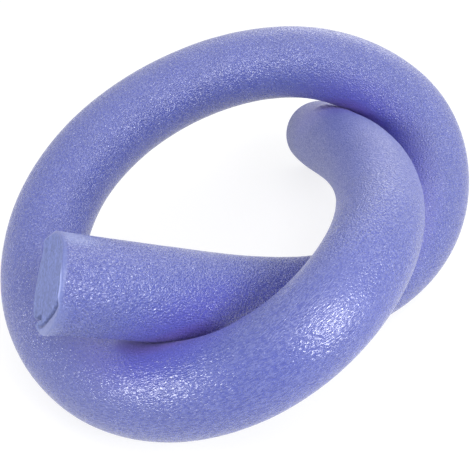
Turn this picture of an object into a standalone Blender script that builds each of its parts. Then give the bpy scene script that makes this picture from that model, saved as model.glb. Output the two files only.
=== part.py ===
"""Pool noodle: one round rod of soft foam, tied in a loose overhand knot and left lying on the floor.

The rod is a single extrusion with two square-cut ends and no bore. It starts at the front left,
lies over the loop, dives under the front strand, goes round the loop once by the right, the back
and the left, comes forward over its own start, curls up the right side inside the loop, and
slips under the back strand, where its other end rests on the floor. The front faces -Y.
"""

import math

import bmesh
import bpy
import numpy as np


# Driving dimensions, in metres.
NOODLE_DIAMETER = 0.065
LOOP_WIDTH = 0.322
LOOP_DEPTH = 0.354
RIM_RADIUS = 0.003
FOOT_DEPTH = 0.0005

# The route's stations, from the cut end at the front left to the one at the back.
# Columns: across the loop and towards its back, as shares of half the loop's width and depth;
# how far the strand is tucked inside the loop's line, and how high its middle lies above the
# floor, as shares of the noodle's diameter.
ROUTE_SHARES = (
    (-0.785, -0.895, 0.0, 2.09),
    (-0.370, -0.705, 0.0, 1.50),
    (0.030, -0.485, 0.0, 0.89),
    (0.470, -0.265, 0.0, 0.53),
    (0.845, 0.065, 0.0, 0.56),
    (1.010, 0.455, 0.0, 0.88),
    (0.925, 0.805, 0.0, 1.35),
    (0.575, 0.990, 0.0, 1.75),
    (0.095, 0.975, 0.0, 1.88),
    (-0.380, 0.795, 0.0, 1.73),
    (-0.785, 0.460, 0.0, 1.40),
    (-1.000, 0.020, 0.0, 0.95),
    (-0.945, -0.430, 0.0, 0.57),
    (-0.670, -0.785, 0.0, 0.53),
    (-0.310, -0.980, 0.0, 0.82),
    (0.090, -0.975, 0.0, 1.30),
    (0.405, -0.730, 0.0, 1.64),
    (0.665, -0.325, 0.2, 1.72),
    (0.975, 0.110, 0.9, 1.53),
    (0.955, 0.560, 1.0, 1.14),
    (0.875, 0.985, 1.0, 0.65),
    (0.855, 1.145, 1.0, 0.47),
)

# Where the rod touches the floor: stretches between two stations, counted from 0.
REST_STRETCHES = ((2, 6), (12, 15), (20, 21))

# Two places on the rod count as different strands when they lie this many diameters apart along it.
STRAND_APART_SHARE = 3

# The block that cuts the feet spreads this many times the loop's width and depth.
FLOOR_SPREAD_SHARE = 2

# Mesh counts.
RINGS = 140
RIM_RINGS = 4
BEVEL_RESOLUTION = 10
FINE_STEPS = 10
SETTLING_ROUNDS = 4

# The foam's skin.
FOAM_COLOUR = (0.215, 0.243, 0.565, 1.0)
FOAM_ROUGHNESS = 0.55
WELD_DISTANCE = NOODLE_DIAMETER / 10000
SMOOTH_ANGLE = math.radians(35)


def clear_scene():
    """Remove every object, so that the script gives the same result wherever it runs."""
    for obj in list(bpy.data.objects):
        bpy.data.objects.remove(obj, do_unlink=True)


def make_collection(name):
    """Return a new collection in the scene."""
    collection = bpy.data.collections.new(name)
    bpy.context.scene.collection.children.link(collection)
    return collection


def make_foam():
    """Return the foam's material: a periwinkle blue with the dull shine of its skin."""
    material = bpy.data.materials.new("foam")
    material.use_nodes = True
    shader = material.node_tree.nodes["Principled BSDF"]
    shader.inputs["Base Color"].default_value = FOAM_COLOUR
    shader.inputs["Roughness"].default_value = FOAM_ROUGHNESS
    shader.inputs["Metallic"].default_value = 0.0
    return material


def station_places():
    """Return the stations as an array of places in metres."""
    across, back, tuck, height = np.array(ROUTE_SHARES).T
    x = across * LOOP_WIDTH / 2 - tuck * NOODLE_DIAMETER
    y = back * LOOP_DEPTH / 2
    z = height * NOODLE_DIAMETER
    return np.stack([x, y, z], axis=1)


def rod_curve(stations, marks):
    """Return the places at marks, in station numbers, of a springy rod laid through the stations.

    The rod is a cubic spline over the distance between stations. Its ends carry no bend.
    """
    steps = np.linalg.norm(np.diff(stations, axis=0), axis=1)
    knots = np.concatenate([[0.0], np.cumsum(steps)])
    last = len(knots) - 1
    system = np.eye(last + 1)
    bends = np.zeros((last + 1, 3))
    for i in range(1, last):
        before, after = steps[i - 1], steps[i]
        system[i, i - 1:i + 2] = before, 2 * (before + after), after
        slope_after = (stations[i + 1] - stations[i]) / after
        slope_before = (stations[i] - stations[i - 1]) / before
        bends[i] = 6 * (slope_after - slope_before)
    bends = np.linalg.solve(system, bends)
    reach = np.interp(marks, np.arange(last + 1), knots)
    i = np.clip(np.searchsorted(knots, reach, side="right") - 1, 0, last - 1)
    span = steps[i][:, None]
    far = (reach - knots[i])[:, None] / span
    near = 1 - far
    sag = ((near**3 - near) * bends[i] + (far**3 - far) * bends[i + 1]) * span**2 / 6
    return near * stations[i] + far * stations[i + 1] + sag


def directions(points):
    """Return the unit tangent at each point."""
    tangents = np.gradient(points, axis=0)
    return tangents / np.linalg.norm(tangents, axis=1)[:, None]


def even_route():
    """Return RINGS points on the rod's middle line, one step apart, and their station numbers."""
    marks = np.linspace(0, len(ROUTE_SHARES) - 1, RINGS * FINE_STEPS)
    points = rod_curve(station_places(), marks)
    steps = np.linalg.norm(np.diff(points, axis=0), axis=1)
    lengths = np.concatenate([[0.0], np.cumsum(steps)])
    even_marks = np.interp(np.linspace(0, lengths[-1], RINGS), lengths, marks)
    return rod_curve(station_places(), even_marks), even_marks


def round_the_rims(points, marks):
    """Return the rings' places, station numbers and sizes, with the rim of both ends rounded.

    A ring's size is a share of the rod's own radius.
    """
    rim_share = RIM_RADIUS / (NOODLE_DIAMETER / 2)
    angles = np.linspace(math.pi / 2, 0, RIM_RINGS)
    insets = RIM_RADIUS * (1 - np.sin(angles))[:, None]
    rim_shares = 1 - rim_share + rim_share * np.cos(angles)
    along = directions(points)
    first = points[0] + insets * along[0]
    last = points[-1] - insets[::-1] * along[-1]
    rings = np.concatenate([first, points[1:-1], last])
    ring_marks = np.concatenate([[marks[0]] * RIM_RINGS, marks[1:-1], [marks[-1]] * RIM_RINGS])
    shares = np.concatenate([rim_shares, np.ones(len(points) - 2), rim_shares[::-1]])
    return rings, ring_marks, shares


def settle(rings, marks, shares):
    """Tilt and lower the rod a little, so that all three rests press FOOT_DEPTH into the floor."""
    rings = rings.copy()
    for _ in range(SETTLING_ROUNDS):
        level_share = np.linalg.norm(directions(rings)[:, :2], axis=1)
        underside = rings[:, 2] - level_share * shares * NOODLE_DIAMETER / 2
        rests = []
        for first, last in REST_STRETCHES:
            stretch = np.flatnonzero((marks >= first) & (marks <= last))
            rests.append(stretch[underside[stretch].argmin()])
        supports = np.column_stack([rings[rests, :2], np.ones(len(rests))])
        tilt = np.linalg.solve(supports, underside[rests] + FOOT_DEPTH)
        rings[:, 2] -= rings[:, :2] @ tilt[:2] + tilt[2]
    return rings


def measure(rings):
    """Print the rod's length and the least gap between two of its strands."""
    steps = np.linalg.norm(np.diff(rings, axis=0), axis=1)
    places = np.concatenate([[0.0], np.cumsum(steps)])
    between = np.linalg.norm(rings[:, None] - rings[None], axis=2)
    along = np.abs(places[:, None] - places[None])
    strands = along > STRAND_APART_SHARE * NOODLE_DIAMETER
    gap = between[strands].min() - NOODLE_DIAMETER
    print(f"noodle: {places[-1]:.3f} m long, least gap to itself {gap:.5f} m")


def make_noodle(collection, material):
    """Sweep the rod along its route and return it as a mesh object, not cut to the floor yet."""
    rings, marks, shares = round_the_rims(*even_route())
    rings = settle(rings, marks, shares)
    measure(rings)
    curve = bpy.data.curves.new("noodle_route", "CURVE")
    curve.dimensions = "3D"
    curve.bevel_depth = NOODLE_DIAMETER / 2
    curve.bevel_resolution = BEVEL_RESOLUTION
    curve.use_fill_caps = True
    spline = curve.splines.new("POLY")
    spline.points.add(len(rings) - 1)
    for point, place, share in zip(spline.points, rings, shares):
        point.co = (*place, 1.0)
        point.radius = share
    guide = bpy.data.objects.new("noodle_route", curve)
    collection.objects.link(guide)
    bpy.context.view_layer.update()
    evaluated = guide.evaluated_get(bpy.context.evaluated_depsgraph_get())
    mesh = bpy.data.meshes.new_from_object(evaluated)
    mesh.name = "noodle"
    matrix = guide.matrix_world.copy()
    bpy.data.objects.remove(guide, do_unlink=True)

    built = bmesh.new()
    built.from_mesh(mesh)
    bmesh.ops.remove_doubles(built, verts=built.verts, dist=WELD_DISTANCE)
    bmesh.ops.recalc_face_normals(built, faces=built.faces)
    built.to_mesh(mesh)
    built.free()
    mesh.shade_smooth()
    mesh.set_sharp_from_angle(angle=SMOOTH_ANGLE)
    mesh.materials.clear()
    mesh.materials.append(material)

    noodle = bpy.data.objects.new("noodle", mesh)
    noodle.matrix_world = matrix
    collection.objects.link(noodle)
    return noodle


def stand_on_origin(noodle):
    """Move the noodle sideways so that the middle of its box is over the origin."""
    corners = np.array([vertex.co for vertex in noodle.data.vertices])
    middle = (corners.min(axis=0) + corners.max(axis=0)) / 2
    noodle.location.x = -middle[0]
    noodle.location.y = -middle[1]


def cut_feet(noodle, cutters):
    """Cut the noodle flat where it presses into the floor."""
    bpy.ops.mesh.primitive_cube_add(size=1)
    floor = bpy.context.active_object
    floor.name = "floor_cutter"
    floor.location.z = -NOODLE_DIAMETER / 2
    floor.scale = (LOOP_WIDTH * FLOOR_SPREAD_SHARE, LOOP_DEPTH * FLOOR_SPREAD_SHARE, NOODLE_DIAMETER)
    for collection in list(floor.users_collection):
        collection.objects.unlink(floor)
    cutters.objects.link(floor)
    floor.hide_render = True
    floor.display_type = "WIRE"
    cut = noodle.modifiers.new("feet", "BOOLEAN")
    cut.operation = "DIFFERENCE"
    cut.object = floor


def main():
    clear_scene()
    parts = make_collection("pool_noodle")
    cutters = make_collection("cutters")
    noodle = make_noodle(parts, make_foam())
    stand_on_origin(noodle)
    cut_feet(noodle, cutters)


main()
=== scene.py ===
"""Pool noodle, tied in a loose overhand knot: the looks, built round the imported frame.

The rod is modelled straight, as it leaves the extruder, with its two cut ends. Then it is bent
along the knot's route, pressed a little where its strands lie on each other and where it rests
on the floor, and given its foam. Everything is in metres, +Z up, and the front faces -Y.
"""

import math

import bpy
import numpy as np
from bpy.props import FloatProperty, FloatVectorProperty, PointerProperty
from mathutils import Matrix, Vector, noise


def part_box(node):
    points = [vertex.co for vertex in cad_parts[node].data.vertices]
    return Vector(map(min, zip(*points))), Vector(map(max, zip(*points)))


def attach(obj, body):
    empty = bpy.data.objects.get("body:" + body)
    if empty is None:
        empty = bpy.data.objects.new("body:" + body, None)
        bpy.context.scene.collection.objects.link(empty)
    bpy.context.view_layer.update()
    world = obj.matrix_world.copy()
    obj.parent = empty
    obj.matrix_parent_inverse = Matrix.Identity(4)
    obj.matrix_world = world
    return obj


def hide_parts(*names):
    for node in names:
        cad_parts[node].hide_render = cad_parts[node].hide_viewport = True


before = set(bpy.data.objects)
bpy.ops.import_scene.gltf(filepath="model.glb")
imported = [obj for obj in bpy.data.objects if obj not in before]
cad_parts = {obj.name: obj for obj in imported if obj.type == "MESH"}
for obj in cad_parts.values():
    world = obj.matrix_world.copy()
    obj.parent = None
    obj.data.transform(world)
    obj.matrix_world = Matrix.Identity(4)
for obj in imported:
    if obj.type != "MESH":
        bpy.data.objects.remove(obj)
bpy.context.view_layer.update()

bl_info = {
    "name": "Pool Noodle Knot",
    "version": (1, 0, 0),
    "blender": (4, 5, 0),
    "location": "View3D > Sidebar > Noodle",
    "description": "Builds a knotted foam pool noodle, its foam and a small studio round it",
    "category": "Object",
}

NODE = "noodle"
BODY = "root"
PIECE = "noodle_foam"

# The straight rod's own coordinates, kept on every vertex: x along it, y and z across it.
STRAIGHT = "straight_rod"
# Marks at the front cut, kept on every vertex, each from 0 to 1: x is the painted shade in the
# crease and tear, y the painted highlight on the thin edge of skin, and z the smooth lip and top
# strip, whose paleness is partly painted light.
MARKS = "blade_forms_and_painted_light"
# How closely another strand of the knot covers the skin, kept on every vertex, from 0 to 1. It
# places the painted shade between strands, and where the skin is rubbed dull.
SHELTER = "sheltered"

# Mesh counts of the rod.
SIDES = 144
RINGS = 620
RIM_RINGS = 6
FACE_RINGS = 8
TORN_RINGS = 36

# The route's stations, as in the part's source, from the front cut end to the back one.
# Columns: across the loop and towards its back, as shares of half the loop's width and depth;
# how far the strand is tucked inside the loop's line, and how high its middle lies above the
# floor, as shares of the noodle's diameter.
ROUTE_SHARES = (
    (-0.785, -0.895, 0.0, 2.09),
    (-0.370, -0.705, 0.0, 1.50),
    (0.030, -0.485, 0.0, 0.89),
    (0.470, -0.265, 0.0, 0.53),
    (0.845, 0.065, 0.0, 0.56),
    (1.010, 0.455, 0.0, 0.88),
    (0.925, 0.805, 0.0, 1.35),
    (0.575, 0.990, 0.0, 1.75),
    (0.095, 0.975, 0.0, 1.88),
    (-0.380, 0.795, 0.0, 1.73),
    (-0.785, 0.460, 0.0, 1.40),
    (-1.000, 0.020, 0.0, 0.95),
    (-0.945, -0.430, 0.0, 0.57),
    (-0.670, -0.785, 0.0, 0.53),
    (-0.310, -0.980, 0.0, 0.82),
    (0.090, -0.975, 0.0, 1.30),
    (0.405, -0.730, 0.0, 1.64),
    (0.665, -0.325, 0.2, 1.72),
    (0.975, 0.110, 0.9, 1.53),
    (0.955, 0.560, 1.0, 1.14),
    (0.875, 0.985, 1.0, 0.65),
    (0.855, 1.145, 1.0, 0.47),
)
ROUTE_POINTS = 2800

# Where the rod touches the floor: stretches between two stations, counted from 0.
REST_STRETCHES = ((2, 6), (12, 15), (20, 21))
SETTLING_ROUNDS = 4

# How strands meet, as shares of the diameter: how far apart along the rod two places lie on
# different strands, how close two strands' middle lines come where they touch, how far along
# the rod a contact is pressed, how wide its bulge is, and how much of the other strand counts.
STRANDS_APART = 3
TOUCHING = 1.03
PRESSED_REACH = 0.8
BULGE_WIDTH = 0.4
OTHER_REACH = 1.2
# One in so many of the route's points is enough to find these places.
STRAND_STEP = 7
# The space left between two strands that touch, and the gap within which one shelters the other.
SKIN_GAP = 0.00003
SHELTER_REACH = 0.045

# The skin's swells. Columns: their size along and across the rod, and their share of the height.
SWELLS = ((0.055, 0.030, 1.0), (0.013, 0.008, 0.3))

# The forms that the blade left on the front cut, as angles round the rod, in radians: 0 is the
# side away from the camera and a quarter turn is up. The tear's ends are a share of the radius
# and an angle each.
LIP_STRETCH = (math.radians(171), math.radians(247))
LIP_FADE = math.radians(8)
LIP_MIDDLE, LIP_SPREAD = math.radians(211), math.radians(37)
# The lip's paleness, most round this angle on its lower side, is partly stretched skin and partly
# painted light.
PALE_MIDDLE, PALE_SPREAD = math.radians(245), math.radians(30)
BURR_STRETCH = (math.radians(138), math.radians(160))
BURR_FADE = math.radians(14)
# Along the top near the front cut, a strip is painted paler and kept smooth: a painted highlight
# where the top catches the light at a grazing angle.
TOP_HIGHLIGHT_STRETCH = (math.radians(62), math.radians(88))
TOP_HIGHLIGHT_FADE = math.radians(14)
TEAR_ENDS = ((1.0, math.radians(274)), (0.70, math.radians(250)))

# Their sizes: how far the front cut lies past the route's end, the width of its outer ring that
# holds the torn forms, the crease's half width, and how far along the rod the lip and the top
# strip with its painted highlight run.
CUT_SPARE = 0.0014
TORN_RING = 0.014
CREASE_WIDTH = 0.0005
LIP_REACH = 0.010
TOP_HIGHLIGHT_REACH = 0.035
# The palest part of the lip counts as 1 and the rest as this. The tear's depth falls by this
# share from its open end to its tip.
LEAST_PALENESS = 0.4
TEAR_TAPER = 0.5

# How the front cut's edge strays from flat. Columns: the angle round the rod and the angle it
# spreads over, in radians, and how far it stands proud, in metres. Inwards it falls with this
# power of the distance from the cut's middle.
CUT_WAVES = (
    (math.radians(-22), math.radians(36), -0.0015),
    (math.radians(22), math.radians(11), 0.0022),
    (math.radians(124), math.radians(20), 0.0014),
)
WAVE_POWER = 4

# Stretches of the skin along the rod: where it bends tightest and is drawn into wrinkles, and
# from where on it was pulled through the loop. Each sets in over its own length.
DRAWN_FIRST, DRAWN_LAST, DRAWN_FADE = 1.02, 1.30, 0.06
WORN_FIRST, WORN_FADE = 1.29, 0.12
# How sheltered the skin is where its painted contact shadow, dark violet, begins, and where it is
# rubbed dull.
PAINTED_SHADOW_SHARE = 0.85
RUBBED_SHARE = 0.8
# How far from a cut the blade dragged the skin smooth, and how soft the end of that is.
SMOOTH_REACH = 0.0022
SMOOTH_SOFTNESS = 0.5
# The stretches of the noise's values over which cells rise to crowns, and streaks to ridges.
CROWN_RANGE = (0.35, 0.65)
STREAK_RANGE = (0.3, 0.7)
# Share of the streaks, beside the open cells, in the cut's relief.
STREAK_SHARE = 0.8
CLOUDS_PER_METRE = 28.0
CUT_CLOUDING = 0.1
FOAM_IOR = 1.5
SHEEN_ROUGHNESS = 0.6

# The studio's softboxes. Columns: the direction from the noodle to the lamp, as an angle round
# it, 0 at the camera's side and 90 at the right, and an angle above level, in degrees; then
# the distance and the lamp's width in metres, and its power in watts.
SOFTBOXES = {
    "left_softbox": (-60, 24, 1.2, 0.37, 4.7),
    "right_softbox": (41, 33, 1.2, 0.42, 6.5),
    "low_right_softbox": (60, 20, 1.2, 0.60, 1.7),
    "high_right_softbox": (55, 58, 1.5, 0.8, 2.2),
    "front_softbox": (10, 70, 1.5, 1.0, 3.5),
    "top_softbox": (180, 85, 1.4, 1.2, 1.5),
    "back_softbox": (180, 30, 1.6, 1.2, 2.2),
    "low_back_softbox": (163, 14, 1.6, 0.8, 3.0),
    "back_right_softbox": (130, 35, 1.6, 1.0, 3.6),
}
LAMP_AIM = (0.0, 0.0, 0.06)
FLOOR_SIZE = 8.0
PICTURE_PIXELS = 470


class NoodleShape(bpy.types.PropertyGroup):
    """Sizes of the rod and of the knot."""

    diameter: FloatProperty(
        name="Diameter", description="Thickness of the foam rod", default=0.065, unit="LENGTH")
    loop_width: FloatProperty(
        name="Loop Width", description="Width of the knot's loop, between middle lines",
        default=0.322, unit="LENGTH")
    loop_depth: FloatProperty(
        name="Loop Depth", description="Depth of the knot's loop, between middle lines",
        default=0.354, unit="LENGTH")
    rim_radius: FloatProperty(
        name="Rim Radius", description="Rounding between the skin and a cut end",
        default=0.0016, unit="LENGTH")
    foot_depth: FloatProperty(
        name="Foot Depth", description="How far the foam gives where it rests on the floor",
        default=0.0005, unit="LENGTH")
    contact_push: FloatProperty(
        name="Contact Push", description="How far two crossing strands lean into each other",
        default=0.0009, unit="LENGTH")
    unevenness: FloatProperty(
        name="Unevenness", description="Height of the skin's slow swells",
        default=0.0003, unit="LENGTH")
    cut_slant: FloatProperty(
        name="Cut Slant", description="How far the front cut turns away from the camera",
        default=math.radians(8.5), subtype="ANGLE")
    cut_lean: FloatProperty(
        name="Cut Lean", description="How far the front cut leans up",
        default=math.radians(3.3), subtype="ANGLE")
    lip_drop: FloatProperty(
        name="Lip Drop", description="How far the torn lip is folded back behind the front cut",
        default=0.0010, unit="LENGTH")
    lip_spread: FloatProperty(
        name="Lip Spread", description="How far the torn lip stands out sideways",
        default=0.0008, unit="LENGTH")
    burr_height: FloatProperty(
        name="Burr Height", description="How far the thin edge of skin by the lip stands proud",
        default=0.0008, unit="LENGTH")
    crease_inset: FloatProperty(
        name="Crease Inset", description="How far inside the skin the lip's crease runs",
        default=0.0078, unit="LENGTH")
    crease_depth: FloatProperty(
        name="Crease Depth", description="Depth of the crease behind the lip",
        default=0.0020, unit="LENGTH")
    tear_width: FloatProperty(
        name="Tear Width", description="Half width of the slit where the blade came out",
        default=0.0013, unit="LENGTH")
    tear_depth: FloatProperty(
        name="Tear Depth", description="Depth of that slit", default=0.007, unit="LENGTH")


class FoamLook(bpy.types.PropertyGroup):
    """Colours, grain and shine of the foam."""

    pit_colour: FloatVectorProperty(
        name="Pit Colour", description="Colour of the skin between its cells",
        default=(0.046, 0.064, 0.345), subtype="COLOR", min=0, max=1)
    crown_colour: FloatVectorProperty(
        name="Crown Colour", description="Paler colour of the skin on top of its cells",
        default=(0.113, 0.137, 0.432), subtype="COLOR", min=0, max=1)
    # Painted shade: where another strand lies close, the skin is painted a deeper, brighter blue,
    # standing in for the light that bounces between the strands.
    painted_shade_colour: FloatVectorProperty(
        name="Painted Shade Colour", description="Deeper colour where strands lie on each other",
        default=(0.112, 0.110, 0.520), subtype="COLOR", min=0, max=1)
    # Painted contact shadow: dark violet beside where strands touch.
    painted_contact_shadow_colour: FloatVectorProperty(
        name="Painted Contact Shadow Colour", description="Dark violet right beside where strands touch",
        default=(0.105, 0.056, 0.400), subtype="COLOR", min=0, max=1)
    rim_colour: FloatVectorProperty(
        name="Rim Colour", description="Paler colour of skin that the blade dragged smooth",
        default=(0.115, 0.150, 0.405), subtype="COLOR", min=0, max=1)
    cut_pit_colour: FloatVectorProperty(
        name="Cut Pit Colour", description="Colour of the cut in its streaks and open cells",
        default=(0.104, 0.129, 0.298), subtype="COLOR", min=0, max=1)
    cut_crown_colour: FloatVectorProperty(
        name="Cut Crown Colour", description="Colour of the cut between them",
        default=(0.213, 0.264, 0.605), subtype="COLOR", min=0, max=1)
    # Partly painted light: the lip is painted paler on its lower side, and the top strip near the
    # front cut takes this colour as a painted highlight.
    lip_and_highlight_colour: FloatVectorProperty(
        name="Lip And Highlight Colour", description="Colour of skin stretched by the blade or rubbed smooth",
        default=(0.155, 0.194, 0.475), subtype="COLOR", min=0, max=1)
    # Painted highlight: the thin edge of skin by the lip is painted bright where it catches the
    # light.
    burr_highlight_colour: FloatVectorProperty(
        name="Burr Highlight Colour", description="Colour of the thin bright edge of skin",
        default=(0.34, 0.40, 0.80), subtype="COLOR", min=0, max=1)
    crease_shade: FloatProperty(
        name="Crease Shade", description="How much darker the crease and the tear are",
        default=0.4, min=0, max=1)
    clouding: FloatProperty(
        name="Clouding", description="How much the colour drifts along the rod", default=0.2)
    cell_size: FloatProperty(
        name="Cell Size", description="Width of one foam cell under the skin",
        default=0.00125, unit="LENGTH")
    cell_stretch: FloatProperty(
        name="Cell Stretch", description="How much longer than wide the cells are", default=1.2)
    wrinkle_size: FloatProperty(
        name="Wrinkle Size", description="Width of a wrinkle where the skin is drawn tight",
        default=0.00098, unit="LENGTH")
    wrinkle_stretch: FloatProperty(
        name="Wrinkle Stretch", description="How much longer than wide the wrinkles are",
        default=2.4)
    wrinkle_share: FloatProperty(
        name="Wrinkle Share", description="Relief of the wrinkles, as a share of the cells' own",
        default=0.6)
    grain_height: FloatProperty(
        name="Grain Height", description="Relief of the cells in the skin",
        default=0.0010, unit="LENGTH")
    dragged_grain: FloatProperty(
        name="Dragged Grain", description="Share of that relief where the blade dragged the skin",
        default=0.3, min=0, max=1)
    crown_roughness: FloatProperty(
        name="Crown Roughness", description="Roughness of the shiny tops of the cells",
        default=0.06, min=0, max=1)
    pit_roughness: FloatProperty(
        name="Pit Roughness", description="Roughness of the dull walls between the cells",
        default=0.33, min=0, max=1)
    dragged_roughness: FloatProperty(
        name="Dragged Roughness", description="Roughness where the blade dragged the skin smooth",
        default=0.6, min=0, max=1)
    rubbed_roughness: FloatProperty(
        name="Rubbed Roughness", description="Roughness where strands rubbed on each other",
        default=0.9, min=0, max=1)
    worn_share: FloatProperty(
        name="Worn Share", description="How far the skin pulled through the loop comes to that",
        default=0.34, min=0, max=1)
    cut_roughness: FloatProperty(
        name="Cut Roughness", description="Roughness of the sawn foam",
        default=0.75, min=0, max=1)
    film_shine: FloatProperty(
        name="Film Shine", description="Shine of the skin; both faces of its thin film reflect",
        default=0.95, min=0, max=1)
    sheen: FloatProperty(
        name="Sheen", description="Soft light that the foam shows at its edges",
        default=0.20, min=0, max=1)
    sheen_colour: FloatVectorProperty(
        name="Sheen Colour", description="Colour of that soft light",
        default=(0.65, 0.68, 1.0), subtype="COLOR", min=0, max=1)
    streak_turn: FloatProperty(
        name="Streak Turn", description="How far the blade's path leans from the upright",
        default=math.radians(41), subtype="ANGLE")
    streak_width: FloatProperty(
        name="Streak Width", description="Width of a saw streak on the cut",
        default=0.0035, unit="LENGTH")
    streak_stretch: FloatProperty(
        name="Streak Stretch", description="How much longer than wide a streak is", default=9.0)
    streak_height: FloatProperty(
        name="Streak Height", description="Relief of the saw streaks",
        default=0.0003, unit="LENGTH")
    cut_cell_size: FloatProperty(
        name="Cut Cell Size", description="Width of a foam cell opened by the cut",
        default=0.0018, unit="LENGTH")
    cut_grain: FloatProperty(
        name="Cut Grain", description="Share of the open cells in the cut's tone",
        default=0.5, min=0, max=1)


class StudioLook(bpy.types.PropertyGroup):
    """Camera, lamps and floor."""

    camera_place: FloatVectorProperty(
        name="Camera Place", description="Where the camera stands",
        default=(-0.0111, -0.5963, 0.5001), subtype="TRANSLATION", unit="LENGTH")
    camera_fall: FloatProperty(
        name="Camera Fall", description="How far the camera looks down from level",
        default=math.radians(36.94), subtype="ANGLE")
    focal_pixels: FloatProperty(
        name="Focal Pixels", description="Focal length in pixels of the picture", default=910.7)
    floor_colour: FloatVectorProperty(
        name="Floor Colour", description="Colour of the pale floor",
        default=(0.80, 0.80, 0.80), subtype="COLOR", min=0, max=1)
    floor_veil: FloatProperty(
        name="Floor Veil", description="Share of plain white that the camera sees on the floor",
        default=0.66, min=0, max=1)
    veil_strength: FloatProperty(
        name="Veil Strength", description="Brightness of that white", default=1.22)
    fill_strength: FloatProperty(
        name="Fill Strength", description="Strength of the even light from all round",
        default=0.425)


def station_places(shape):
    """Return the route's stations as places in metres."""
    across, back, tuck, height = np.array(ROUTE_SHARES).T
    x = across * shape.loop_width / 2 - tuck * shape.diameter
    y = back * shape.loop_depth / 2
    z = height * shape.diameter
    return np.stack([x, y, z], axis=1)


def rod_curve(stations, marks):
    """Return the places at marks, in station numbers, of a springy rod through the stations."""
    steps = np.linalg.norm(np.diff(stations, axis=0), axis=1)
    knots = np.concatenate([[0.0], np.cumsum(steps)])
    last = len(knots) - 1
    system = np.eye(last + 1)
    bends = np.zeros((last + 1, 3))
    for i in range(1, last):
        before, after = steps[i - 1], steps[i]
        system[i, i - 1:i + 2] = before, 2 * (before + after), after
        slope_after = (stations[i + 1] - stations[i]) / after
        slope_before = (stations[i] - stations[i - 1]) / before
        bends[i] = 6 * (slope_after - slope_before)
    bends = np.linalg.solve(system, bends)
    reach = np.interp(marks, np.arange(last + 1), knots)
    i = np.clip(np.searchsorted(knots, reach, side="right") - 1, 0, last - 1)
    span = steps[i][:, None]
    far = (reach - knots[i])[:, None] / span
    near = 1 - far
    sag = ((near**3 - near) * bends[i] + (far**3 - far) * bends[i + 1]) * span**2 / 6
    return near * stations[i] + far * stations[i + 1] + sag


def unit(vectors):
    """Return the vectors at length 1."""
    return vectors / np.linalg.norm(vectors, axis=-1, keepdims=True)


def reach_along(points):
    """Return how far along their line the points lie."""
    steps = np.linalg.norm(np.diff(points, axis=0), axis=1)
    return np.concatenate([[0.0], np.cumsum(steps)])


def settled_route(shape):
    """Return evenly spaced points on the rod's middle line, tilted and lowered onto the floor."""
    stations = station_places(shape)
    marks = np.linspace(0, len(stations) - 1, ROUTE_POINTS)
    reach = reach_along(rod_curve(stations, marks))
    marks = np.interp(np.linspace(0, reach[-1], ROUTE_POINTS), reach, marks)
    points = rod_curve(stations, marks)
    for _ in range(SETTLING_ROUNDS):
        level_share = np.linalg.norm(unit(np.gradient(points, axis=0))[:, :2], axis=1)
        underside = points[:, 2] - level_share * shape.diameter / 2
        rests = []
        for first, last in REST_STRETCHES:
            stretch = np.flatnonzero((marks >= first) & (marks <= last))
            rests.append(stretch[underside[stretch].argmin()])
        supports = np.column_stack([points[rests, :2], np.ones(len(rests))])
        tilt = np.linalg.solve(supports, underside[rests] + shape.foot_depth)
        points[:, 2] -= points[:, :2] @ tilt[:2] + tilt[2]
    return points


class Route:
    """The knot's middle line, with a frame across it that doesn't twist."""

    def __init__(self, shape):
        self.points = settled_route(shape)
        self.reach = reach_along(self.points)
        self.length = self.reach[-1]
        self.along = unit(np.gradient(self.points, axis=0))
        self.up = self.carried_frame()
        self.side = np.cross(self.up, self.along)

    def carried_frame(self):
        """Return a vector across each point, started upright at the front end and carried on."""
        up = np.zeros_like(self.points)
        carried = np.array([0.0, 0.0, 1.0])
        for i, along in enumerate(self.along):
            up[i] = carried = unit(carried - carried.dot(along) * along)
        return up

    def at(self, values, reach):
        """Return values of the route, linearly between its points."""
        return np.stack([np.interp(reach, self.reach, column) for column in values.T], axis=-1)

    def bend(self, straight):
        """Return where points of the straight rod come to lie in the knot."""
        x, y, z = np.moveaxis(straight, -1, 0)
        held = np.clip(x, 0, self.length)
        beyond = (x - held)[..., None] * unit(self.at(self.along, held))
        sideways = y[..., None] * unit(self.at(self.side, held))
        upwards = z[..., None] * unit(self.at(self.up, held))
        return self.at(self.points, held) + beyond + sideways + upwards


def ridge(distance, width):
    """Return a smooth hump of height 1 over a distance of 0."""
    return np.exp(-(distance / width) ** 2)


def smooth_step(values):
    """Return the values held between 0 and 1, with a smooth start and end."""
    held = np.clip(values, 0, 1)
    return held * held * (3 - 2 * held)


def angle_off(angles, middle):
    """Return how far angles lie from a middle one, round the rod."""
    return (angles - middle + math.pi) % (2 * math.pi) - math.pi


def window(angles, stretch, soft):
    """Return 1 between two angles and 0 outside them, with edges as wide as soft."""
    first, last = stretch
    off = np.abs(angle_off(angles, (first + last) / 2))
    return np.clip(((last - first) / 2 + soft - off) / soft, 0, 1)


def lip_paleness(angles):
    """Return how smooth and pale the lip is: most so at its lower side, where the paleness is
    partly painted light.
    """
    palest = ridge(angle_off(angles, PALE_MIDDLE), PALE_SPREAD)
    return LEAST_PALENESS + (1 - LEAST_PALENESS) * palest


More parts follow.
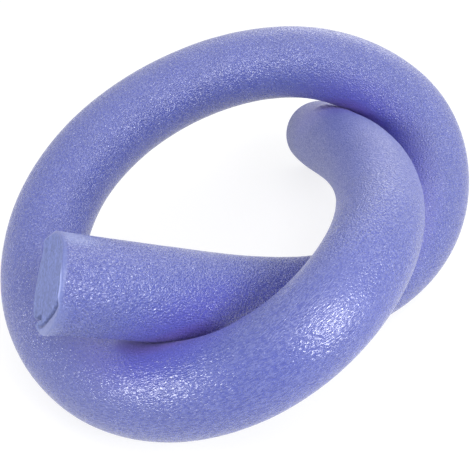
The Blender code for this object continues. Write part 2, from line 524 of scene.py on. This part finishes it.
def front_cut(shape, radii, insets, angles):
    """Return the front cut end of the straight rod: a slanted face, its rim and its torn lip.

    The second result holds the blade's marks, and the third tells which points are skin.
    """
    radius = shape.diameter / 2
    rim = shape.rim_radius
    around = np.broadcast_to(angles, (len(radii), len(angles)))
    out = np.broadcast_to(radii[:, None], around.shape)
    y = out * np.cos(around)
    z = out * np.sin(around)
    x = insets[:, None] - CUT_SPARE
    x = x + math.tan(shape.cut_slant) * y - math.tan(shape.cut_lean) * z
    for middle, width, height in CUT_WAVES:
        x = x - height * ridge(angle_off(around, middle), width) * (out / radius) ** WAVE_POWER
    # The last of the foam tore: it left a lip of skin along the near lower rim, folded back a
    # little, behind a crease that runs away from the rim.
    lipped = window(around, LIP_STRETCH, LIP_FADE)
    dip = ridge(angle_off(around, LIP_MIDDLE), LIP_SPREAD)
    crease_radius = radius - rim - (shape.crease_inset - rim) * dip
    beyond = smooth_step((out - crease_radius) / CREASE_WIDTH)
    crease = lipped * ridge(out - crease_radius, CREASE_WIDTH)
    x = x + shape.crease_depth * crease + shape.lip_drop * lipped * beyond
    spread = 1 + shape.lip_spread / radius * lipped * beyond
    y, z = y * spread, z * spread
    # Where the blade came out, a short slit is left.
    torn_from, torn_to = (radius * share * np.array([math.cos(angle), math.sin(angle)])
                          for share, angle in TEAR_ENDS)
    run = torn_to - torn_from
    off = np.stack([y, z], axis=-1) - torn_from
    share = np.clip(off @ run / run.dot(run), 0, 1)
    gap = np.linalg.norm(off - share[..., None] * run, axis=-1)
    tear = ridge(gap, shape.tear_width)
    x = x + shape.tear_depth * (1 - share * TEAR_TAPER) * tear
    # Above the lip the skin stands up as a thin edge.
    burr = window(around, BURR_STRETCH, BURR_FADE) * ridge(out - radius + rim, rim / 2)
    x = x - shape.burr_height * burr
    lip = (lipped > 0.5) & (out > crease_radius + CREASE_WIDTH / 2)
    # Marks painted into the colour: shade in the crease and tear, a highlight on the thin edge, and
    # the lip's paleness, which is partly painted light.
    marks = [np.maximum(crease, tear), burr, lipped * beyond * lip_paleness(around)]
    return np.stack([x, y, z], axis=-1), np.stack(marks, axis=-1), lip


def straight_rod(shape, length):
    """Return the straight rod as rows of rings, the blade's marks, and which points lie on a cut.

    Rows run from the middle of the front cut, over its rim, along the rod and over the other
    rim to the middle of the back cut.
    """
    radius = shape.diameter / 2
    rim = shape.rim_radius
    angles = np.linspace(0, 2 * math.pi, SIDES, endpoint=False)
    round_over = np.linspace(math.pi / 2, 0, RIM_RINGS)[1:]
    rim_radii = radius - rim + rim * np.cos(round_over)
    rim_insets = rim * (1 - np.sin(round_over))

    plain_radii = np.linspace(0, radius - TORN_RING, FACE_RINGS + 1)[1:]
    torn_radii = np.linspace(radius - TORN_RING, radius - rim, TORN_RINGS + 1)[1:]
    front_radii = np.concatenate([plain_radii, torn_radii, rim_radii])
    front_insets = np.concatenate([np.zeros(FACE_RINGS + TORN_RINGS), rim_insets])
    front, front_marks, lip = front_cut(shape, front_radii, front_insets, angles)

    back_radii = np.concatenate([np.linspace(0, radius - rim, FACE_RINGS + 1)[1:], rim_radii])
    back_insets = np.concatenate([np.zeros(FACE_RINGS), rim_insets])
    back_y = back_radii[::-1, None] * np.cos(angles)
    back_z = back_radii[::-1, None] * np.sin(angles)
    back_x = np.broadcast_to(length - back_insets[::-1, None], back_y.shape)
    back = np.stack([back_x, back_y, back_z], axis=-1)

    # Along the first stretch the skin's rings turn from the cut's slant to square, and the lip
    # runs out into the round skin.
    body = np.linspace(rim, length - rim, RINGS)[1:-1, None]
    fade = np.clip(1 - (body - rim) / radius, 0, 1)
    lip_fade = window(angles, LIP_STRETCH, LIP_FADE) * smooth_step(1 - (body - rim) / LIP_REACH)
    out = radius + shape.lip_spread * lip_fade
    middle = np.stack([body + fade * (front[-1, :, 0] - rim),
                       out * np.cos(angles), out * np.sin(angles)], axis=-1)
    # The top strip near the front cut, painted paler as a highlight, with its grain smoothed.
    rubbed = window(angles, TOP_HIGHLIGHT_STRETCH, TOP_HIGHLIGHT_FADE) * smooth_step(1 - body / TOP_HIGHLIGHT_REACH)
    middle_marks = np.zeros(middle.shape)
    middle_marks[..., 2] = np.maximum(lip_fade * lip_paleness(angles), rubbed)
    rows = np.concatenate([front, middle, back])
    marks = np.concatenate([front_marks, middle_marks, np.zeros(back.shape)])
    cut = np.zeros(rows.shape[:2], bool)
    cut[:FACE_RINGS + TORN_RINGS] = True
    cut[:len(front)] &= ~lip
    cut[-FACE_RINGS:] = True
    return rows, marks, cut


def swell(rows, shape):
    """Return the rod with its skin swollen a little here and there, as extruded foam is."""
    flat = rows.reshape(-1, 3).copy()
    heights = np.zeros(len(flat))
    for along, across, share in SWELLS:
        places = flat / (along, across, across)
        heights += [share * noise.noise(Vector(place)) for place in places]
    flat[:, 1:] *= 1 + (shape.unevenness * heights / (shape.diameter / 2))[:, None]
    return flat.reshape(rows.shape)


def find_contacts(route, shape):
    """Return the pairs of route points where two strands touch."""
    points = route.points[::STRAND_STEP]
    reach = route.reach[::STRAND_STEP]
    between = np.linalg.norm(points[:, None] - points[None], axis=2)
    near = np.where(reach[None] - reach[:, None] > STRANDS_APART * shape.diameter, between, np.inf)
    contacts = []
    while near.min() < shape.diameter * TOUCHING:
        pair = np.unravel_index(near.argmin(), near.shape)
        contacts.append([i * STRAND_STEP for i in pair])
        near[np.ix_(*(np.abs(reach - reach[i]) < shape.diameter for i in pair))] = np.inf
    return contacts


def press_contacts(rows, straight, route, shape):
    """Let crossing strands touch: each bulges a little to the other, and is flat between them."""
    rows = rows.copy()
    size = shape.diameter
    for pair in find_contacts(route, shape):
        middle = route.points[pair].mean(axis=0)
        for own, other in (pair, pair[::-1]):
            strand = np.abs(straight[:, 0, 0] - route.reach[own]) < size * PRESSED_REACH
            skin = rows[strand]
            centre = route.at(route.points, np.clip(straight[strand][..., 0], 0, route.length))
            outward = unit(skin - centre)
            bulge = ridge(np.linalg.norm(skin - middle, axis=-1), size * BULGE_WIDTH)
            skin = skin + shape.contact_push * bulge[..., None] * outward
            across = np.abs(route.reach - route.reach[other]) < size * OTHER_REACH
            apart = np.linalg.norm(skin[..., None, :] - route.points[across], axis=-1).min(axis=-1)
            own_reach = np.linalg.norm(skin - centre, axis=-1)
            spare = np.clip((own_reach + SKIN_GAP - apart) / 2, 0, None)
            rows[strand] = skin - spare[..., None] * outward
    return rows


def find_shelter(rows, straight, route, shape):
    """Return how closely another strand covers each point of the skin, from 0 to 1."""
    points = route.points[::STRAND_STEP]
    reach = route.reach[::STRAND_STEP]
    shelter = np.zeros(rows.shape[:2])
    for i, ring in enumerate(rows):
        others = points[np.abs(reach - straight[i, 0, 0]) > STRANDS_APART * shape.diameter]
        gaps = np.linalg.norm(ring[:, None] - others, axis=2).min(axis=1) - shape.diameter / 2
        shelter[i] = smooth_step(1 - gaps / SHELTER_REACH)
    return shelter


def close_mesh(rows, straight, marks, shelter, cut, middles, straight_middles):
    """Return the rod's mesh: rings of quads, with a fan of triangles on each cut's middle."""
    count, sides, _ = rows.shape
    points = np.concatenate([rows.reshape(-1, 3), middles])
    corner = np.arange(count * sides).reshape(count, sides)
    after = np.roll(corner, -1, axis=1)
    quads = np.stack([corner[:-1], after[:-1], after[1:], corner[1:]], axis=-1).reshape(-1, 4)
    front, back = count * sides, count * sides + 1
    faces = [tuple(quad) for quad in quads.tolist()]
    faces += [(front, b, a) for a, b in zip(corner[0].tolist(), after[0].tolist())]
    faces += [(back, a, b) for a, b in zip(corner[-1].tolist(), after[-1].tolist())]
    mesh = bpy.data.meshes.new(PIECE)
    mesh.from_pydata(points.tolist(), [], faces)
    quad_cut = (cut[:-1] & cut[1:]).ravel()
    slots = np.concatenate([quad_cut, np.ones(2 * sides, bool)]).astype(np.int32)
    mesh.polygons.foreach_set("material_index", slots)
    for name, values, end_values in ((STRAIGHT, straight, straight_middles),
                                     (MARKS, marks, np.zeros((2, 3)))):
        kept = mesh.attributes.new(name, "FLOAT_VECTOR", "POINT")
        kept.data.foreach_set("vector", np.concatenate([values.ravel(), end_values.ravel()]))
    covered = mesh.attributes.new(SHELTER, "FLOAT", "POINT")
    covered.data.foreach_set("value", np.concatenate([shelter.ravel(), np.zeros(2)]))
    mesh.shade_smooth()
    mesh.update()
    return mesh


def feed(tree, node, inputs):
    """Give each named input of a node its value, or a link where it is given a socket."""
    for key, value in inputs.items():
        if isinstance(value, bpy.types.NodeSocket):
            tree.links.new(value, node.inputs[key])
        else:
            node.inputs[key].default_value = value


def add_node(tree, kind, inputs=None, **settings):
    """Add a node, set its options and feed its inputs."""
    node = tree.nodes.new(kind)
    for key, value in settings.items():
        setattr(node, key, value)
    feed(tree, node, inputs or {})
    return node


def maths(tree, operation, *inputs):
    """Return the result of a sum on numbers and sockets."""
    return add_node(tree, "ShaderNodeMath", dict(enumerate(inputs)), operation=operation).outputs[0]


def scale(tree, vector, share):
    """Return a vector or a colour times a number."""
    return add_node(tree, "ShaderNodeVectorMath", {0: vector, "Scale": share},
                    operation="SCALE").outputs[0]


def mix(tree, factor, first, second, kind="FLOAT"):
    """Return a mix of two numbers or, with kind RGBA, of two colours."""
    return add_node(tree, "ShaderNodeMix", {"Factor": factor, "A": first, "B": second},
                    data_type=kind).outputs["Result"]


def remap(tree, value, low=0.0, high=1.0, to_low=0.0, to_high=1.0, curve="LINEAR"):
    """Return a value carried from one range to another, and held within it."""
    ranges = {"From Min": low, "From Max": high, "To Min": to_low, "To Max": to_high}
    return add_node(tree, "ShaderNodeMapRange", {"Value": value, **ranges},
                    interpolation_type=curve).outputs[0]


def parts_of(tree, vector):
    """Return a vector's three numbers."""
    return add_node(tree, "ShaderNodeSeparateXYZ", {"Vector": vector}).outputs


def kept_value(tree, name, output="Vector"):
    """Return what every vertex keeps under a name."""
    return add_node(tree, "ShaderNodeAttribute", attribute_name=name).outputs[output]


def rgba(colour):
    """Return a colour with full cover."""
    return (*colour, 1.0)


def new_group(name, inputs, outputs):
    """Return a new shader node group, what it is given, and its output node.

    Inputs and outputs are names with their socket types.
    """
    group = bpy.data.node_groups.new(name, "ShaderNodeTree")
    for sockets, way in ((inputs, "INPUT"), (outputs, "OUTPUT")):
        for label, kind in sockets.items():
            group.interface.new_socket(name=label, in_out=way, socket_type=f"NodeSocket{kind}")
    return group, group.nodes.new("NodeGroupInput").outputs, group.nodes.new("NodeGroupOutput")


def cell_grain_group():
    """Return the group that makes foam cells: their relief, and a mask of their crowns."""
    group, given, result = new_group(
        "cell_grain", {"Place": "Vector", "Cell Size": "Float", "Stretch": "Float"},
        {"Height": "Float", "Crowns": "Float"})
    along, across, up = parts_of(group, given["Place"])
    drawn = maths(group, "DIVIDE", along, given["Stretch"])
    place = add_node(group, "ShaderNodeCombineXYZ", {"X": drawn, "Y": across, "Z": up}).outputs[0]
    in_cells = scale(group, place, maths(group, "DIVIDE", 1.0, given["Cell Size"]))
    cells = add_node(group, "ShaderNodeTexNoise",
                     {"Vector": in_cells, "Scale": 1.0, "Detail": 0.3, "Roughness": 0.5,
                      "Distortion": 0.6}).outputs["Fac"]
    feed(group, result, {"Height": cells, "Crowns": remap(group, cells, *CROWN_RANGE)})
    return group


def foam_tone_group():
    """Return the group that colours a foam's cells and clouds it slowly over the rod."""
    group, given, result = new_group(
        "foam_tone", {"Place": "Vector", "Pit Colour": "Color", "Crown Colour": "Color",
                      "Crowns": "Float", "Clouding": "Float"}, {"Colour": "Color"})
    cells = mix(group, given["Crowns"], given["Pit Colour"], given["Crown Colour"], "RGBA")
    cloud = add_node(group, "ShaderNodeTexNoise",
                     {"Vector": given["Place"], "Scale": CLOUDS_PER_METRE, "Detail": 3.0,
                      "Roughness": 0.55}).outputs["Fac"]
    off_middle = maths(group, "SUBTRACT", cloud, 0.5)
    gain = maths(group, "MULTIPLY_ADD", off_middle, given["Clouding"], 1.0)
    feed(group, result, {"Colour": scale(group, cells, gain)})
    return group


def painted_marks_group():
    """Return the group that paints shade in the crease and tear, a highlight on the edge of skin
    and the paler lip.
    """
    group, given, result = new_group(
        "blade_forms_and_painted_light", {"Colour": "Color", "Lip And Highlight Colour": "Color", "Edge Highlight Colour": "Color",
                        "Crease Shade": "Float"}, {"Colour": "Color"})
    crease, edge, lip = parts_of(group, kept_value(group, MARKS))
    # The lip is paler, the crease and tear get painted shade, and the edge of skin a painted
    # highlight.
    stretched = mix(group, lip, given["Colour"], given["Lip And Highlight Colour"], "RGBA")
    lost = maths(group, "MULTIPLY", crease, given["Crease Shade"])
    shaded = scale(group, stretched, maths(group, "SUBTRACT", 1.0, lost))
    feed(group, result, {"Colour": mix(group, edge, shaded, given["Edge Highlight Colour"], "RGBA")})
    return group


def new_material(name):
    """Return a new material, its tree and its shader."""
    material = bpy.data.materials.new(name)
    material.use_nodes = True
    return material, material.node_tree, material.node_tree.nodes["Principled BSDF"]


def placed(tree, group, inputs):
    """Place a node group in a material and return what it puts out."""
    return add_node(tree, "ShaderNodeGroup", inputs, node_tree=group).outputs


def marked_colour(tree, look, blade, colour):
    """Return a foam's colour with the front cut's painted shade, painted highlight and paler lip on
    it.
    """
    return placed(tree, blade, {"Colour": colour, "Lip And Highlight Colour": rgba(look.lip_and_highlight_colour),
                                "Edge Highlight Colour": rgba(look.burr_highlight_colour),
                                "Crease Shade": look.crease_shade})["Colour"]


def distance_to_cut(tree, shape, length, place):
    """Return how far along the rod the nearer cut is, with the front cut's slant."""
    normal = (1.0, -math.tan(shape.cut_slant), math.tan(shape.cut_lean))
    to_front = add_node(tree, "ShaderNodeVectorMath", {0: place, 1: normal},
                        operation="DOT_PRODUCT").outputs["Value"]
    to_back = maths(tree, "SUBTRACT", length, parts_of(tree, place)["X"])
    return maths(tree, "MINIMUM", maths(tree, "ADD", to_front, CUT_SPARE), to_back)


def skin_material(look, shape, length, grain, tone, blade):
    """Return the closed skin: satin blue foam with its cells showing, smooth by the cuts, with
    painted shade between strands and painted highlights by the front cut.
    """
    material, tree, shader = new_material("foam_skin")
    place = kept_value(tree, STRAIGHT)
    along = parts_of(tree, place)["X"]
    shelter = kept_value(tree, SHELTER, "Fac")
    cells = placed(tree, grain, {"Place": place, "Cell Size": look.cell_size,
                                 "Stretch": look.cell_stretch})
    wrinkles = placed(tree, grain, {"Place": place, "Cell Size": look.wrinkle_size,
                                    "Stretch": look.wrinkle_stretch})

    # The blade dragged the skin smooth near the cuts and over the whole lip.
    far = remap(tree, distance_to_cut(tree, shape, length, place),
                SMOOTH_REACH * (1 - SMOOTH_SOFTNESS), SMOOTH_REACH * (1 + SMOOTH_SOFTNESS),
                curve="SMOOTHSTEP")
    # The top strip with its painted highlight is kept smooth as well.
    off_lip = maths(tree, "SUBTRACT", 1.0, parts_of(tree, kept_value(tree, MARKS))["Z"])
    grainy = remap(tree, maths(tree, "MULTIPLY", far, off_lip), to_low=look.dragged_grain)

    # Where the rod bends tightest, the skin is drawn into fine wrinkles.
    drawn = maths(tree, "MULTIPLY",
                  remap(tree, along, DRAWN_FIRST, DRAWN_FIRST + DRAWN_FADE, curve="SMOOTHSTEP"),
                  remap(tree, along, DRAWN_LAST, DRAWN_LAST - DRAWN_FADE, curve="SMOOTHSTEP"))
    low_wrinkles = maths(tree, "MULTIPLY", wrinkles["Height"], look.wrinkle_share)
    height = mix(tree, drawn, cells["Height"], low_wrinkles)
    crowns = mix(tree, drawn, cells["Crowns"], wrinkles["Crowns"])
    bump = add_node(tree, "ShaderNodeBump", {"Strength": 1.0, "Distance": look.grain_height,
                                             "Height": maths(tree, "MULTIPLY", height, grainy)})

    # Where strands lie on each other, the skin is painted a deeper blue: painted shade, with the
    # light that bounces between the strands painted in. There, and where the back end was pulled
    # through the loop, the skin was rubbed dull.
    colour = placed(tree, tone, {"Place": place, "Pit Colour": rgba(look.pit_colour),
                                 "Crown Colour": rgba(look.crown_colour), "Crowns": crowns,
                                 "Clouding": look.clouding})["Colour"]
    dragged = mix(tree, grainy, rgba(look.rim_colour), colour, "RGBA")
    deep = mix(tree, shelter, dragged, rgba(look.painted_shade_colour), "RGBA")
    # Painted contact shadow: right beside where strands touch, the colour turns dark violet.
    dark = mix(tree, remap(tree, shelter, PAINTED_SHADOW_SHARE), deep, rgba(look.painted_contact_shadow_colour), "RGBA")
    own_rough = remap(tree, crowns, to_low=look.pit_roughness, to_high=look.crown_roughness)
    dragged_rough = mix(tree, grainy, look.dragged_roughness, own_rough)
    pulled = remap(tree, along, WORN_FIRST, WORN_FIRST + WORN_FADE, to_high=look.worn_share,
                   curve="SMOOTHSTEP")
    dull = maths(tree, "MAXIMUM", remap(tree, shelter, RUBBED_SHARE), pulled)

    feed(tree, shader, {
        "Base Color": marked_colour(tree, look, blade, dark),
        "Roughness": mix(tree, dull, dragged_rough, look.rubbed_roughness),
        "Normal": bump.outputs["Normal"], "IOR": FOAM_IOR,
        "Specular IOR Level": look.film_shine, "Sheen Weight": look.sheen,
        "Sheen Roughness": SHEEN_ROUGHNESS, "Sheen Tint": rgba(look.sheen_colour)})
    return material


def cut_material(look, grain, tone, blade):
    """Return the sawn foam: matt, a little greyer, with streaks from the blade and painted shade in
    its crease and tear.
    """
    material, tree, shader = new_material("foam_cut")
    place = kept_value(tree, STRAIGHT)
    cells = placed(tree, grain, {"Place": place, "Cell Size": look.cut_cell_size, "Stretch": 1.0})
    # The blade's path leans across the cut: streaks are long along it and narrow beside it.
    turned = add_node(tree, "ShaderNodeVectorRotate", {"Vector": place, "Angle": look.streak_turn},
                      rotation_type="X_AXIS").outputs[0]
    streak_length = look.streak_width * look.streak_stretch
    along_blade = add_node(tree, "ShaderNodeMapping", {
        "Vector": turned, "Scale": (1.0, 1 / look.streak_width, 1 / streak_length)}).outputs[0]
    streak_noise = add_node(tree, "ShaderNodeTexNoise", {
        "Vector": along_blade, "Scale": 1.0, "Detail": 3.0, "Roughness": 0.7}).outputs["Fac"]
    streaks = remap(tree, streak_noise, *STREAK_RANGE)
    colour = placed(tree, tone, {"Place": place, "Pit Colour": rgba(look.cut_pit_colour),
                                 "Crown Colour": rgba(look.cut_crown_colour),
                                 "Crowns": mix(tree, look.cut_grain, streaks, cells["Crowns"]),
                                 "Clouding": CUT_CLOUDING})["Colour"]
    height = mix(tree, STREAK_SHARE, cells["Height"], streaks)
    bump = add_node(tree, "ShaderNodeBump", {"Strength": 1.0, "Distance": look.streak_height,
                                             "Height": height})
    feed(tree, shader, {
        "Base Color": marked_colour(tree, look, blade, colour), "Roughness": look.cut_roughness,
        "Normal": bump.outputs["Normal"], "IOR": FOAM_IOR})
    return material


class NOODLE_OT_rod(bpy.types.Operator):
    """Build the knotted foam rod and its foam"""

    bl_idname = "noodle.rod"
    bl_label = "Knotted Rod"

    def execute(self, context):
        shape = context.scene.noodle_shape
        look = context.scene.noodle_foam
        route = Route(shape)
        straight, marks, cut = straight_rod(shape, route.length)
        rows = press_contacts(route.bend(swell(straight, shape)), straight, route, shape)
        shelter = find_shelter(rows, straight, route, shape)
        straight_middles = np.array([[-CUT_SPARE, 0.0, 0.0], [route.length, 0.0, 0.0]])
        box = np.array([rows.min(axis=(0, 1)), rows.max(axis=(0, 1))])
        shift = np.mean(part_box(NODE), axis=0) - box.mean(axis=0)
        shift[2] = 0.0
        rows = rows + shift
        middles = route.bend(straight_middles) + shift
        rows[..., 2] = np.maximum(rows[..., 2], 0.0)
        mesh = close_mesh(rows, straight, marks, shelter, cut, middles, straight_middles)
        groups = cell_grain_group(), foam_tone_group(), painted_marks_group()
        mesh.materials.append(skin_material(look, shape, route.length, *groups))
        mesh.materials.append(cut_material(look, *groups))
        noodle = bpy.data.objects.new(PIECE, mesh)
        context.scene.collection.objects.link(noodle)
        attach(noodle, BODY)
        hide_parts(NODE)
        return {"FINISHED"}


def add_softbox(scene, name, azimuth, elevation, distance, size, power):
    """Add a square area lamp that looks at the noodle."""
    lamp = bpy.data.lights.new(name, "AREA")
    lamp.shape = "SQUARE"
    lamp.size = size
    lamp.energy = power
    holder = bpy.data.objects.new(name, lamp)
    turn, rise = math.radians(azimuth), math.radians(elevation)
    away = Vector((math.sin(turn) * math.cos(rise), -math.cos(turn) * math.cos(rise),
                   math.sin(rise)))
    holder.location = Vector(LAMP_AIM) + away * distance
    holder.rotation_euler = (-away).to_track_quat("-Z", "Y").to_euler()
    holder.visible_camera = False
    scene.collection.objects.link(holder)


def shown_white(tree):
    """Return 1 for rays from the camera, from shine and through glass, and else 0."""
    rays = add_node(tree, "ShaderNodeLightPath").outputs
    shine = maths(tree, "MAXIMUM", rays["Is Camera Ray"], rays["Is Glossy Ray"])
    return maths(tree, "MAXIMUM", shine, rays["Is Transmission Ray"])


def floor_material(studio):
    """Return the pale floor: it keeps the noodle's shadow, and the camera sees it nearly white."""
    material, tree, shader = new_material("pale_floor")
    tree.nodes.remove(shader)
    matt = add_node(tree, "ShaderNodeBsdfDiffuse", {"Color": rgba(studio.floor_colour)})
    white = add_node(tree, "ShaderNodeEmission", {"Strength": studio.veil_strength})
    veil = maths(tree, "MULTIPLY", shown_white(tree), studio.floor_veil)
    mixed = add_node(tree, "ShaderNodeMixShader",
                     {0: veil, 1: matt.outputs[0], 2: white.outputs[0]})
    feed(tree, tree.nodes["Material Output"], {"Surface": mixed.outputs[0]})
    return material


def studio_world(studio):
    """Return the world: a weak even light, white where the camera or shine sees it."""
    world = bpy.data.worlds.new("studio")
    world.use_nodes = True
    tree = world.node_tree
    strength = remap(tree, shown_white(tree), to_low=studio.fill_strength)
    feed(tree, tree.nodes["Background"], {"Color": (1.0, 1.0, 1.0, 1.0), "Strength": strength})
    return world


class NOODLE_OT_studio(bpy.types.Operator):
    """Build the floor, the soft lamps and the camera"""

    bl_idname = "noodle.studio"
    bl_label = "Studio"

    def execute(self, context):
        scene = context.scene
        studio = scene.noodle_studio
        scene.view_settings.view_transform = "Standard"
        scene.world = studio_world(studio)

        bpy.ops.mesh.primitive_plane_add(size=FLOOR_SIZE)
        floor = context.active_object
        floor.name = "floor"
        floor.data.materials.append(floor_material(studio))

        for name, settings in SOFTBOXES.items():
            add_softbox(scene, name, *settings)

        lens = bpy.data.cameras.new("camera")
        lens.lens = lens.sensor_width * studio.focal_pixels / PICTURE_PIXELS
        camera = bpy.data.objects.new("camera", lens)
        camera.location = studio.camera_place
        camera.rotation_euler = (math.pi / 2 - studio.camera_fall, 0.0, 0.0)
        scene.collection.objects.link(camera)
        scene.camera = camera
        return {"FINISHED"}


class NOODLE_PT_panel(bpy.types.Panel):
    """Lists the noodle's operators and sizes"""

    bl_idname = "NOODLE_PT_panel"
    bl_label = "Pool Noodle"
    bl_space_type = "VIEW_3D"
    bl_region_type = "UI"
    bl_category = "Noodle"

    def draw(self, context):
        scene = context.scene
        for settings, operator in ((scene.noodle_shape, NOODLE_OT_rod),
                                   (scene.noodle_foam, None),
                                   (scene.noodle_studio, NOODLE_OT_studio)):
            box = self.layout.box()
            for name in settings.bl_rna.properties.keys():
                if name not in {"rna_type", "name"}:
                    box.prop(settings, name)
            if operator:
                box.operator(operator.bl_idname)


CLASSES = (NoodleShape, FoamLook, StudioLook, NOODLE_OT_rod, NOODLE_OT_studio, NOODLE_PT_panel)


def register():
    """Register the classes and put the settings on the scene."""
    for cls in CLASSES:
        bpy.utils.register_class(cls)
    bpy.types.Scene.noodle_shape = PointerProperty(type=NoodleShape)
    bpy.types.Scene.noodle_foam = PointerProperty(type=FoamLook)
    bpy.types.Scene.noodle_studio = PointerProperty(type=StudioLook)


def unregister():
    """Take the settings and the classes away again."""
    del bpy.types.Scene.noodle_studio
    del bpy.types.Scene.noodle_foam
    del bpy.types.Scene.noodle_shape
    for cls in reversed(CLASSES):
        bpy.utils.unregister_class(cls)


def main():
    """Build everything."""
    register()
    bpy.ops.noodle.rod()
    bpy.ops.noodle.studio()


if __name__ == "__main__":
    main()
